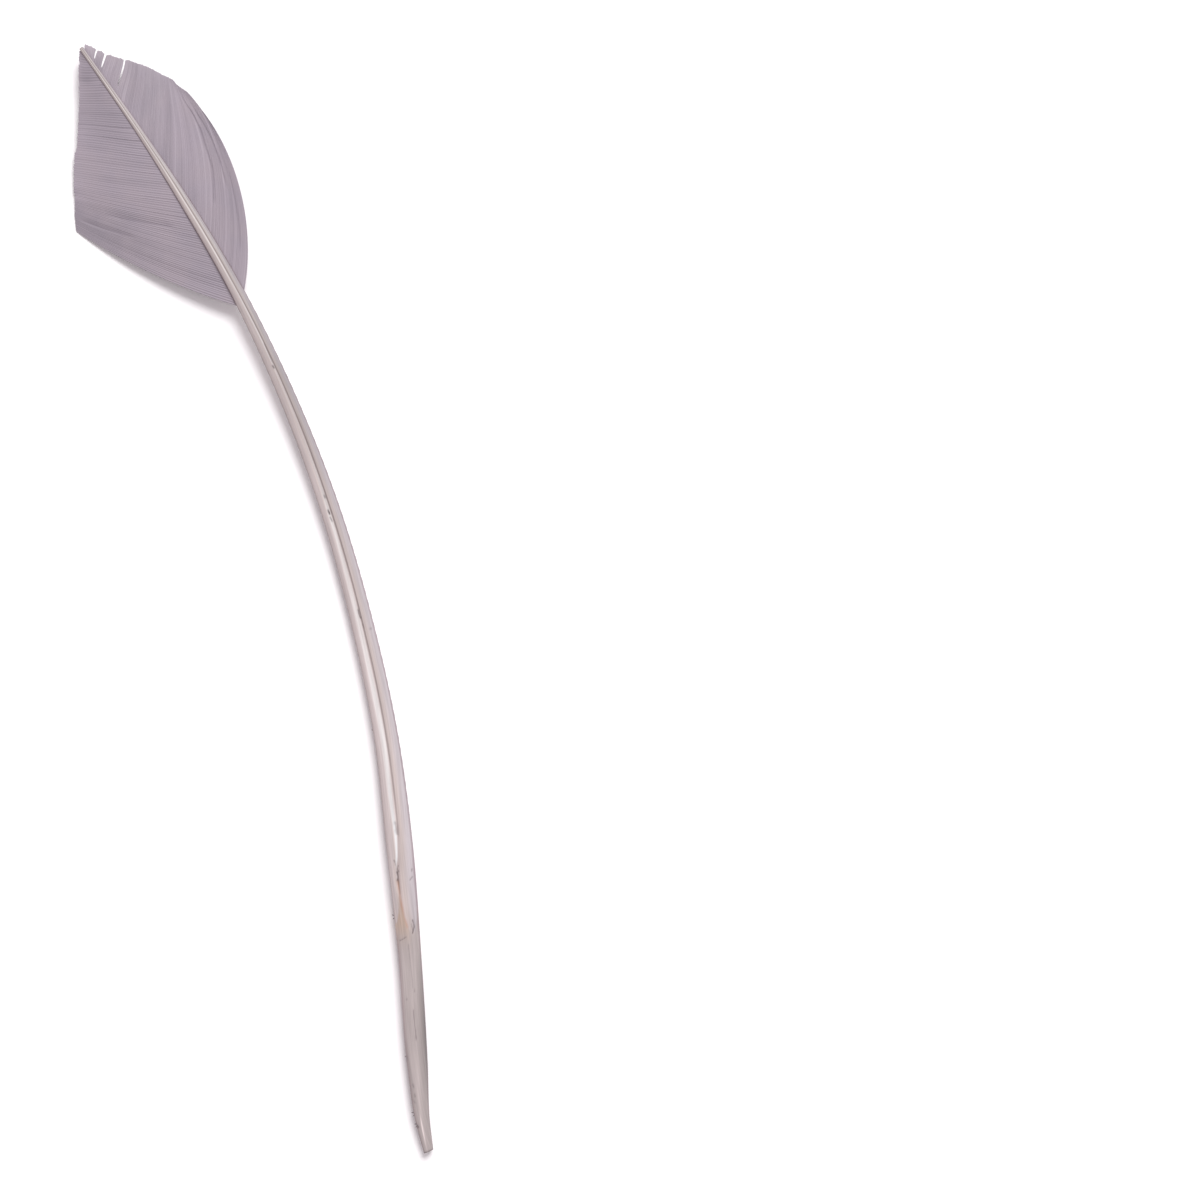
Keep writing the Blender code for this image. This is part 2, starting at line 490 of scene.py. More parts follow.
    def material(self) -> bpy.types.Material:
        """The material that the shaft and the flakes share.

        Returns:
            The new material.
        """
        made, shader = new_material(
            "dyed_quill_keratin", {"Roughness": self.roughness, "IOR": self.ior}
        )
        tree = made.node_tree
        read = {}
        for key in self.reads:
            number = add_node(tree, "ShaderNodeAttribute", {"attribute_name": key}, {})
            read[key] = number.outputs["Fac"]
        grain, cloud = self.fibres(tree, read)
        colour = self.stained(tree, read)
        for noise, light in ((grain, self.grain_light), (cloud, self.cloud_light)):
            shade = add_node(
                tree,
                "ShaderNodeMapRange",
                {},
                {
                    "Value": noise,
                    "From Min": self.noise_span[0],
                    "From Max": self.noise_span[1],
                    "To Min": light[0],
                    "To Max": light[1],
                },
            )
            colour = add_node(
                tree,
                "ShaderNodeVectorMath",
                {"operation": "SCALE"},
                {0: colour, "Scale": shade.outputs[0]},
            ).outputs[0]
        bump = add_node(
            tree,
            "ShaderNodeBump",
            {},
            {"Height": grain, "Strength": self.fibre_bump, "Distance": self.fibre_height * MM},
        )
        tree.links.new(colour, shader.inputs["Base Color"])
        tree.links.new(bump.outputs[0], shader.inputs["Normal"])
        return made


@dataclass(frozen=True)
class DyedBarbs:
    """Interlocked barbs, grown and dyed.

    Each barb's ramus catches the light as a fine pale line and the web of barbules
    between them is a little darker and matt, with a soft sheen seen flat on.
    """

    dark: str = "7E7780"
    light: str = "9B929C"
    ramus: str = "ACA3AB"
    # Painted shade in the creases.
    crease: str = "6E6570"
    # Beside the shaft the roots are darker: partly a reddish stain, partly painted shade.
    root: str = "755C58"
    blush: str = "988D93"
    roughness: float = 0.62
    ior: float = 1.54
    sheen: float = 0.15
    sheen_roughness: float = 0.4
    # How far the palest ramus covers the web.
    ramus_cover: float = 0.4
    # Patches where the dye turned pinker: their size in millimetres, the noise's detail,
    # the part of its range that is used, and how far they cover.
    blush_patch: float = 9.0
    blush_detail: float = 2.0
    blush_span: Pair = (0.4, 0.65)
    blush_cover: float = 0.4
    # The numbers that it reads from the mesh.
    reads: tuple[str, ...] = ("tone", "ridge", "crease", "root")

    def material(self) -> bpy.types.Material:
        """The material that both vanes share.

        Returns:
            The new material.
        """
        settings = {
            "Roughness": self.roughness,
            "IOR": self.ior,
            "Sheen Weight": self.sheen,
            "Sheen Roughness": self.sheen_roughness,
        }
        made, shader = new_material("dyed_feather_barbs", settings)
        tree = made.node_tree
        read = {}
        for key in self.reads:
            number = add_node(tree, "ShaderNodeAttribute", {"attribute_name": key}, {})
            read[key] = number.outputs["Fac"]
        place = add_node(tree, "ShaderNodeTexCoord", {}, {})
        patches = add_node(
            tree,
            "ShaderNodeTexNoise",
            {},
            {
                "Vector": place.outputs["Object"],
                "Scale": 1 / (self.blush_patch * MM),
                "Detail": self.blush_detail,
            },
        )
        blushed = add_node(
            tree,
            "ShaderNodeMapRange",
            {},
            {
                "Value": patches.outputs["Fac"],
                "From Min": self.blush_span[0],
                "From Max": self.blush_span[1],
                "To Max": self.blush_cover,
            },
        )
        tone = add_node(
            tree,
            "ShaderNodeMapRange",
            {},
            {"Value": read["tone"], "From Min": -1.0, "From Max": 1.0},
        )
        ridge = add_node(
            tree,
            "ShaderNodeMapRange",
            {},
            {"Value": read["ridge"], "From Max": 1.0, "To Max": self.ramus_cover},
        )
        layers = [
            (tone.outputs[0], linear_colour(self.light)),
            (blushed.outputs[0], linear_colour(self.blush)),
            (ridge.outputs[0], linear_colour(self.ramus)),
            (read["crease"], linear_colour(self.crease)),
            (read["root"], linear_colour(self.root)),
        ]
        colour = covered(tree, linear_colour(self.dark), layers)
        tree.links.new(colour, shader.inputs["Base Color"])
        return made


@dataclass(frozen=True)
class MattPaper:
    """White paper, pressed and uncoated: it takes soft shadows and mirrors nothing."""

    colour: str = "FEFEFE"
    roughness: float = 0.95
    specular: float = 0.2

    def material(self) -> bpy.types.Material:
        """The material of the table.

        Returns:
            The new material.
        """
        settings = {
            "Base Color": linear_colour(self.colour),
            "Roughness": self.roughness,
            "Specular IOR Level": self.specular,
        }
        made, _ = new_material("matt_white_paper", settings)
        return made


@dataclass(frozen=True)
class Scratch:
    """A mark on the shaft, along a few points of (distance from the cut end, across)."""

    path: Rows
    half_width: float
    darkness: float = 0.8
    depth: float = 0.05


@dataclass(frozen=True)
class Patch:
    """A rounded part of a surface that differs from the rest.

    Its place and reach are along the shaft. Its share and share reach are across the
    shaft, or out along the barbs of a vane.
    """

    place: float
    share: float
    place_reach: float
    share_reach: float
    strength: float

    def cover(self, place: np.ndarray, share: np.ndarray) -> np.ndarray:
        """How strong the patch is at some points."""
        near = hill((place - self.place) / self.place_reach)
        return self.strength * (near * hill((share - self.share) / self.share_reach))


@dataclass(frozen=True)
class ShaftGrid:
    """The shaft's skin as a grid, with a row for each ring and a column for each place on it.

    Across and up run from -1 to 1 over the width and the depth.
    """

    along: np.ndarray
    across: np.ndarray
    up: np.ndarray
    # Where the groove's deepest line runs, across the shaft.
    line: np.ndarray
    half_width: np.ndarray
    half_depth: np.ndarray
    # 1 on the upper side and 0 below the flanks.
    on_top: np.ndarray


@dataclass
class QuillShaft:
    """The calamus and the rachis, from the cut end to the tip."""

    finish: bpy.types.Material
    seed: int = 11
    ring_pitch: float = 0.5
    fine_pitch: float = 0.25
    fine_spans: Rows = ((0, 14), (52, 88))
    top_points: int = 60
    under_points: int = 26
    section_samples: int = 721
    squareness: float = 2.5
    # The middle half of the top holds the groove, so it has more points: how many more,
    # where and how far.
    groove_crowding: float = 1.6
    crowding_place: float = 0.05
    crowding_reach: float = 0.5
    flat_share: float = 0.21
    # The flanks' smooth change to the upper side ends at this height.
    top_starts: float = 0.3
    crisp_angle: float = 50.0

    groove_starts: float = 76.0
    groove_full: float = 92.0
    groove_depth: float = 0.15
    wall_width: float = 0.17
    # The slope reaches this far past the pale floor.
    slope_margin: float = 0.08
    pit_place: float = 71.5
    pit_length: float = 4.5
    pit_reach: float = 0.16
    pit_depth: float = 0.12
    # Where the groove's deepest line runs, across the shaft.
    groove_line: Rows = (
        (56, 0.40),
        (57.3, 0.19),
        (61, -0.12),
        (64, -0.27),
        (67, -0.32),
        (73, -0.35),
        (77, -0.14),
        (81, -0.04),
        (90, 0.0),
        (110, 0.0),
        (150, 0.02),
        (168, 0.03),
        (178, 0.06),
        (190, 0.10),
        (215, 0.12),
        (230, 0.09),
        (305, 0.06),
    )
    # The floor beside that line carries a painted highlight, where its slope faces the light:
    # distance from the cut end, the highlight's strength, the width and the depth of the groove
    # there as a share of its full depth.
    channel: Rows = (
        (73.5, 0.0, 0.08, 1.0),
        (76, 0.85, 0.16, 1.0),
        (84, 0.82, 0.30, 1.0),
        (96, 0.62, 0.40, 1.0),
        (118, 0.55, 0.45, 1.0),
        (150, 0.38, 0.42, 1.0),
        (167, 0.5, 0.32, 1.0),
        (176, 0.28, 0.24, 0.9),
        (190, 0.12, 0.20, 0.75),
        (207, 0.15, 0.18, 0.6),
        (214, 0.26, 0.18, 0.55),
        (232, 0.14, 0.20, 0.32),
        (262, 0.2, 0.22, 0.24),
        (305, 0.12, 0.22, 0.2),
    )
    # How much light the dye leaves: distance from the cut end, left and right of the groove.
    wash: Rows = (
        (0, 1.02, 0.90),
        (15, 1.03, 0.98),
        (30, 1.05, 1.08),
        (48, 1.07, 1.00),
        (58, 1.00, 1.04),
        (64, 1.02, 1.17),
        (78, 1.08, 1.17),
        (92, 1.10, 1.17),
        (118, 1.14, 1.10),
        (150, 1.04, 1.04),
        (172, 1.00, 0.92),
        (190, 0.92, 0.81),
        (215, 0.89, 0.70),
        (240, 0.85, 0.69),
        (265, 0.81, 0.66),
        (290, 0.73, 0.77),
        (305, 0.76, 0.84),
    )
    # The calamus is darker down its right side, and a painted highlight runs as a pale streak
    # to its cut end. Between the vanes the flanks are paler than the middle.
    washes_and_highlight: tuple[Patch, ...] = (
        Patch(30, 1.0, 14, 0.6, -0.48),
        Patch(30, 1.06, 16, 0.2, -0.35),
        Patch(46, 1.0, 8, 0.4, -0.12),
        Patch(44, -1.0, 16, 0.3, 0.3),
        # Painted highlight: the pale streak near the cut end.
        Patch(5.0, -0.10, 6, 0.2, 0.22),
        Patch(7.6, -0.14, 2.2, 0.08, 0.5),
        Patch(4.2, -0.19, 2.2, 0.09, 0.6),
        Patch(16, 0.0, 8, 0.2, 0.2),
        Patch(66, -0.45, 4, 0.12, -0.08),
        Patch(67, 0.8, 6, 0.2, -0.12),
        Patch(262, -1.0, 34, 0.4, 0.3),
        Patch(268, 1.0, 30, 0.4, 0.45),
    )
    # Below this line, read across the shaft, no pith backs the horn.
    pith_edge: Rows = (
        (-1.0, 59.5),
        (-0.75, 60.2),
        (-0.55, 62.5),
        (-0.42, 66.0),
        (-0.34, 68.0),
        (-0.27, 64.8),
        (-0.12, 61.2),
        (0.19, 57.4),
        (0.44, 56.0),
        (0.70, 57.6),
        (0.90, 61.0),
        (1.0, 64.0),
    )
    rust_path: Rows = (
        (70.6, -0.36),
        (68.0, -0.32),
        (66.5, -0.31),
        (64.0, -0.25),
        (61.0, -0.12),
        (58.6, 0.08),
    )
    scratches: tuple[Scratch, ...] = (
        Scratch(((210.1, -0.06), (209.4, -0.02)), 0.22, 0.9),
        Scratch(((216, 0.10), (210.6, 0.05)), 0.10, 0.5),
        Scratch(((173.4, -0.06), (172.9, -0.04)), 0.20, 0.6),
        Scratch(((169.3, -0.16), (168.6, -0.12)), 0.26, 1.0, 0.1),
        Scratch(((167.6, -0.22), (166.6, -0.12)), 0.14, 0.7),
        Scratch(((142.2, -0.02), (140.4, -0.05), (139.9, 0.02)), 0.20, 0.75),
        Scratch(((138.2, 0.04), (137.2, 0.08)), 0.12, 0.5),
        Scratch(((136.8, 0.95), (136.3, 0.55)), 0.10, 0.45),
        Scratch(((85.6, -0.10), (82.6, -0.03)), 0.28, 0.45),
        Scratch(((76.0, -0.47), (74.6, -0.40)), 0.16, 0.7),
        Scratch(((74.6, -0.20), (73.6, -0.30), (73.0, -0.22)), 0.14, 0.7),
        Scratch(((72.8, -0.36), (71.6, -0.32), (70.7, -0.37)), 0.18, 0.9, 0.12),
        Scratch(((70.7, -0.37), (68.8, -0.32), (67.2, -0.30)), 0.12, 0.4, 0.08),
        Scratch(((73.2, 0.80), (72.6, 0.76)), 0.16, 0.65),
        Scratch(((71.2, 0.76), (70.6, 0.62)), 0.20, 0.6),
        Scratch(((60.2, 0.54), (58.4, 0.62), (56.9, 0.46)), 0.15, 0.9),
        Scratch(((59.2, 0.40), (57.6, 0.48), (56.7, 0.42)), 0.12, 0.8),
        Scratch(((55.2, -0.66), (55.7, -0.30), (56.0, -0.12)), 0.10, 0.6),
        Scratch(((54.0, 0.02), (48.0, 0.06), (43.0, 0.12)), 0.10, 0.35),
        Scratch(((42.4, 0.22), (42.0, 0.24)), 0.16, 0.5),
        Scratch(((40.2, -0.50), (39.9, -0.48)), 0.16, 0.45),
        Scratch(((37.3, 0.04), (33.5, 0.08), (29.6, 0.14)), 0.10, 0.6),
        Scratch(((37.4, 0.03), (37.0, 0.04)), 0.15, 0.5),
        Scratch(((32.2, 0.10), (31.6, 0.11)), 0.16, 0.45),
        Scratch(((30.4, 0.12), (29.7, 0.14)), 0.18, 0.55),
        Scratch(((25.6, -0.86), (24.2, -0.90)), 0.18, 0.5),
        Scratch(((18.0, -0.60), (17.4, -0.52)), 0.16, 0.5),
        Scratch(((15.4, -0.54), (14.8, -0.44)), 0.14, 0.5),
        Scratch(((13.9, -0.70), (13.3, -0.60)), 0.16, 0.55),
        Scratch(((7.8, -0.95), (7.0, -0.72)), 0.26, 0.85),
    )

    # The rings of the hollow in the cut end, darkened with painted shade: share of the section,
    # depth and darkness.
    bore_rings: Rows = ((0.74, 0.0, 0.45), (0.703, 1.2, 0.9), (0.5, 5.0, 1.0))
    # The skin darkens along the rim of the cut: over this width, and this much.
    rim_width: float = 0.35
    rim_darkness: float = 0.6
    cut_slope: float = 0.216
    cut_fades: float = 1.6

    # Fibres stand a few hundredths proud, and fade out at the cut end.
    fibre_relief: float = 0.012
    fibre_fades: float = 3.0
    # The scars of the stripped barbs run from the pit up to the vane, along both flanks.
    vane_starts: float = 228.0
    scar_pitch: float = 0.6
    scar_depth: float = 0.035
    scars_start: float = 74.0
    scars_rise: float = 12.0
    scars_fade: float = 2.0
    scar_reach: float = 0.05
    scar_height: float = 0.75

    # The rings and places that a random hill spans.
    fibre_blur: Pair = (26, 0.8)
    scratch_blur: Pair = (1.5, 1.2)
    waver_blur: Pair = (10, 4)
    stain_blur: Pair = (6, 2)
    # How uneven a scratch's width is, and the least and the most that it comes to.
    scratch_uneven: float = 0.35
    scratch_span: Pair = (0.4, 1.8)

    # The painted highlight on the floor is brightest near its far side and has a wavering
    # edge. Both edges are given as where they are and how soft, in widths of the floor.
    waver: float = 0.02
    channel_far: Pair = (1.25, 0.5)
    channel_near: Pair = (0.45, 0.42)
    # The wash starts to change this far left of the groove's line, and reaches the right
    # side's value over this far.
    wash_starts: float = 0.05
    wash_reach: float = 0.25
    stain_uneven: float = 0.25
    # The pith's edge on the underside: the height that it starts below, its place and reach.
    beneath: float = -0.2
    pith_beneath: float = 62.0
    pith_beneath_reach: float = 8.0
    tan_place: float = 60.5
    tan_reach: float = 4.5
    tan_ends: float = 0.5
    tan_strength: float = 0.9
    rust_reach: float = 0.34
    # The rust's least strength, where it starts to gain, over how far, and its most.
    rust_least: float = 0.35
    rust_gains: float = 61.0
    rust_gain_reach: float = 5.0
    rust_most: float = 0.85
    # The dark lines where the vanes join, partly a reddish-brown colour and partly painted shade
    # between shaft and vane: the flank, half the width and the strength.
    seams: Rows = ((-1.0, 0.10, 0.35), (1.0, 0.08, 0.25))
    seam_rise: float = 6.0

    def stations(self) -> np.ndarray:
        """Where the rings are, closer together at the cut end and round the pit."""
        places = [0.0]
        while places[-1] < CHORD:
            fine = any(start <= places[-1] < end for start, end in self.fine_spans)
            places.append(min(places[-1] + (self.fine_pitch if fine else self.ring_pitch), CHORD))
        return np.array(places)

    def section(self) -> tuple[np.ndarray, np.ndarray]:
        """One ring as shares of the half width and half depth, run round from below.

        Returns:
            How far across and how far up each point is, from -1 to 1.
        """
        angle = np.linspace(math.pi, 0, self.section_samples)
        across = np.sign(np.cos(angle)) * np.abs(np.cos(angle)) ** (2 / self.squareness)
        up = np.abs(np.sin(angle)) ** (2 / self.squareness)
        travelled = np.hypot(np.diff(across), np.diff(up))
        crowd = hill((across[1:] - self.crowding_place) / self.crowding_reach)
        over = np.cumsum(travelled * (1 + self.groove_crowding * crowd))
        step = np.arange(len(across))
        halves = []
        for path, count in ((over, self.top_points), (np.cumsum(travelled), self.under_points)):
            path = np.concatenate([[0], path])
            halves.append(np.interp(np.linspace(0, path[-1], count), path, step))
        top, low = halves
        low = low[1:-1][::-1]
        ring_across = np.concatenate([np.interp(top, step, across), np.interp(low, step, across)])
        ring_up = np.concatenate([np.interp(top, step, up), -np.interp(low, step, up)])
        ring_up = np.where((ring_up < 0) & (np.abs(ring_across) < self.flat_share), -1.0, ring_up)
        return ring_across, ring_up

    def grid(self) -> ShaftGrid:
        """The grid of the skin, before any relief.

        Returns:
            The grid.
        """
        stations = self.stations()
        ring_across, ring_up = self.section()
        along = np.repeat(stations[:, None], len(ring_across), axis=1)
        across = np.repeat(ring_across[None, :], len(stations), axis=0)
        up = np.repeat(ring_up[None, :], len(stations), axis=0)
        _, width, depth = LINE.sections.at(along)
        line = SmoothTable(self.groove_line).at(along)[0]
        first, first_line = self.groove_line[0]
        line = np.where(along < first, first_line, line)
        on_top = smooth_step(up / self.top_starts)
        return ShaftGrid(along, across, up, line, width / 2, depth / 2, on_top)

    def groove_profile(self, grid: ShaftGrid) -> np.ndarray:
        """Depth of the groove: a long slope from the left and a steep wall on the right.

        Args:
            grid: the shaft's grid.

        Returns:
            The depth as a share of the shaft's whole depth.
        """
        station, _, floor_width, share = np.array(self.channel).T
        offset = grid.across - grid.line
        width = self.slope_margin + np.interp(grid.along, station, floor_width)
        slope = smooth_step(1 + offset / width)
        wall = 1 - smooth_step(offset / self.wall_width)
        shape = np.where(grid.across < grid.line, slope, wall)
        risen = (grid.along - self.groove_starts) / (self.groove_full - self.groove_starts)
        groove = smooth_step(risen) * np.interp(grid.along, station, share)
        pit = hill((grid.along - self.pit_place) / self.pit_length) * hill(offset / self.pit_reach)
        return self.groove_depth * groove * shape + self.pit_depth * pit

    @staticmethod
    def distance_to(path: Rows, grid: ShaftGrid) -> np.ndarray:
        """Distance over the surface from a line drawn on the shaft.

        Args:
            path: the line's points, as (distance from the cut end, across).
            grid: the shaft's grid.

        Returns:
            The distances in millimetres.
        """
        nearest = np.full(grid.along.shape, np.inf)
        for (along_a, across_a), (along_b, across_b) in zip(path, path[1:]):
            step = along_b - along_a
            run = grid.along - along_a
            side = (grid.across - across_a) * grid.half_width
            reach = (across_b - across_a) * grid.half_width
            t = np.clip((run * step + side * reach) / (step**2 + reach**2), 0, 1)
            nearest = np.minimum(nearest, np.hypot(run - t * step, side - t * reach))
        return nearest

    def relief(
        self, grid: ShaftGrid, rng: np.random.Generator
    ) -> tuple[np.ndarray, np.ndarray]:
        """Fibres, the scars of the stripped barbs, and the scratches.

        Args:
            grid: the shaft's grid.
            rng: the source of the random numbers.

        Returns:
            How far the skin stands proud in millimetres, and how dark it is scuffed.
        """
        shape = grid.along.shape
        proud = smooth_noise(rng, shape, self.fibre_blur) * self.fibre_relief
        flank = hill((np.abs(grid.across) - 1) / self.scar_reach)
        flank = flank * (np.abs(grid.up) < self.scar_height)
        stripped = smooth_step((grid.along - self.scars_start) / self.scars_rise)
        covered = smooth_step((grid.along - self.vane_starts) / self.scars_fade)
        wave = np.sin(2 * math.pi * grid.along / self.scar_pitch)
        proud = proud + flank * (stripped * (1 - covered)) * wave * self.scar_depth
        proud = proud * smooth_step(grid.along / self.fibre_fades)

        scuff = np.zeros(shape)
        for mark in self.scratches:
            away = self.distance_to(mark.path, grid)
            uneven = 1 + self.scratch_uneven * smooth_noise(rng, shape, self.scratch_blur)
            reach = mark.half_width * np.clip(uneven, *self.scratch_span)
            cover = hill(away / reach) * grid.on_top
            scuff = np.maximum(scuff, mark.darkness * cover)
            proud -= mark.depth * cover
        return proud, scuff

    def surface(self, grid: ShaftGrid, proud: np.ndarray) -> tuple[np.ndarray, np.ndarray]:
        """The skin swept along the shaft's line, with its groove and its slanted cut.

        Args:
            grid: the shaft's grid.
            proud: how far the skin stands proud, in millimetres.

        Returns:
            The points in millimetres, and how far up each is, now with its relief.
        """
        bow, _, _ = LINE.sections.at(grid.along)
        along_x, along_y = LINE.heading(grid.along)
        # Up counts in half depths, and the groove is given in whole ones.
        up = grid.up * (1 + proud / grid.half_depth) - 2 * self.groove_profile(grid) * grid.on_top
        wide = grid.across * (1 + proud / grid.half_width) * grid.half_width
        cut = self.cut_slope * grid.across * grid.half_width * hill(grid.along / self.cut_fades)
        lowest = LINE.underside(grid.along)
        points = np.stack(
            [
                bow + wide * along_y + cut * along_x,
                grid.along - wide * along_x + cut * along_y,
                np.maximum(lowest + grid.half_depth * (1 + up), lowest),
            ],
            axis=-1,
        )
        return points, up

    def stains(
        self, grid: ShaftGrid, up: np.ndarray, rng: np.random.Generator
    ) -> dict[str, np.ndarray]:
        """The numbers that the finish reads, but for the scuffs.

        Args:
            grid: the shaft's grid.
            up: how far up each point is, with its relief.
            rng: the source of the random numbers.

        Returns:
            The numbers, by name.
        """
        along, across = grid.along, grid.across
        offset = across - grid.line
        band = np.where(offset < 0, offset / (grid.line + 1), offset / (1 - grid.line))

        # The painted highlight on the groove's floor.
        station, strength, floor_width, _ = np.array(self.channel).T
        wavering = offset + self.waver * smooth_noise(rng, along.shape, self.waver_blur)
        inside = wavering / np.interp(along, station, floor_width)
        far, far_soft = self.channel_far
        near, near_soft = self.channel_near
        channel = smooth_step((inside + far) / far_soft)
        channel = channel * (1 - smooth_step((inside + near) / near_soft))
        channel = channel * np.interp(along, station, strength, left=0.0) * grid.on_top

        left, right = SmoothTable(self.wash).at(along)
        wash = left + (right - left) * smooth_step((offset + self.wash_starts) / self.wash_reach)
        # The washes also hold the painted highlight near the cut end.
        for patch in self.washes_and_highlight:
            wash = wash * (1 + patch.cover(along, across))

        uneven = self.stain_uneven * smooth_noise(rng, along.shape, self.stain_blur)
        edge = np.interp(across, *np.array(self.pith_edge).T)
        pith = smooth_step(along - edge + uneven + 0.5)
        under = smooth_step((along - self.pith_beneath) / self.pith_beneath_reach)
        pith = np.where(up < self.beneath, under, pith)
        tan = hill((along - self.tan_place) / self.tan_reach) * self.tan_strength
        tan = tan * smooth_step((self.tan_ends - across) / self.tan_ends)
        gained = smooth_step((along - self.rust_gains) / self.rust_gain_reach)
        rust = hill(self.distance_to(self.rust_path, grid) / self.rust_reach) * grid.on_top
        rust = rust * (self.rust_least + (1 - self.rust_least) * gained)
        # Where the vanes join: partly colour, partly painted shade.
        seam_and_shade = sum(hill((across - flank) / half) * dark for flank, half, dark in self.seams)
        seam_and_shade = seam_and_shade * smooth_step((along - self.vane_starts) / self.seam_rise)
        ring = np.hypot(np.diff(grid.across[0]), np.diff(grid.up[0]))
        around = np.concatenate([[0], np.cumsum(ring)])
        return {
            "band": band,
            "along": along,
            "around": around[None, :] * grid.half_width,
            "wash": wash,
            "channel": channel,
            "pith": pith,
            "tan": tan,
            "rust": np.clip(rust * (1 + uneven), 0, self.rust_most),
            "seam_and_shade": np.clip(seam_and_shade, 0, 1),
            "bore_shade_and_rim": hill(along / self.rim_width) * self.rim_darkness,
        }

    def build(self) -> bpy.types.Object:
        """Makes the swept surface, its marks and the numbers that its finish reads.

        Returns:
            The shaft.
        """
        rng = np.random.default_rng(self.seed)
        grid = self.grid()
        proud, scuff = self.relief(grid, rng)
        points, up = self.surface(grid, proud)
        values = self.stains(grid, up, rng)
        values["scuff"] = np.clip(scuff, 0, 1)

        # The hollow of the cut end: a rim, a wall and a floor, drawn in from the first ring, and
        # dark with painted shade.
        rings, count = grid.along.shape
        shares, depths, darkness = np.array(self.bore_rings).T
        along_x, along_y = (float(part) for part in LINE.heading(np.array(0.0)))
        inward = np.array([along_x, along_y, 0.0])
        middle = points[0].mean(axis=0)
        hollow = [
            (middle + (points[0] - middle) * share + inward * deep)[None]
            for share, deep in zip(shares, depths)
        ]
        points = np.concatenate([points, *hollow])
        for key, numbers in values.items():
            values[key] = np.concatenate([numbers] + [numbers[:1]] * len(hollow))
        values["bore_shade_and_rim"][rings:] = darkness[:, None]
        values["pith"][rings:] = 0.0

        order = list(range(len(points) - 1, rings - 1, -1)) + list(range(rings))
        faces = []
        for lower, upper in zip(order, order[1:]):
            for i in range(count):
                j = (i + 1) % count
                corners = ((lower, i), (upper, i), (upper, j), (lower, j))
                faces.append([ring * count + place for ring, place in corners])
        faces.append([order[0] * count + i for i in range(count)])
        faces.append([order[-1] * count + i for i in reversed(range(count))])
        piece = make_mesh("quill_shaft", points.reshape(-1, 3), faces, values, self.crisp_angle)
        piece.data.materials.append(self.finish)
        return piece


@dataclass(frozen=True)
class Split:
    """A gap between two barbs that runs in from the cut edge."""

    place: float
    whole_share: float
    half_gap: float


@dataclass(frozen=True)
class Crease:
    """A fold that follows the barbs, along points of (place on the shaft, share of the barb)."""

    path: Rows
    depth: float
    near_width: float
    far_width: float
    # How dark its painted shade is.
    darkness: float = 0.5


@dataclass(frozen=True)
class BarbRows:
    """The lines that a vane is made of, in the order in which they leave the shaft."""

    # Where each leaves the shaft, which line of a barb it is, and the barb's number.
    places: np.ndarray
    kind: np.ndarray
    barb: np.ndarray
    # Where two barbs meet, and how far apart the barbs are.
    valleys: np.ndarray
    pitch: float


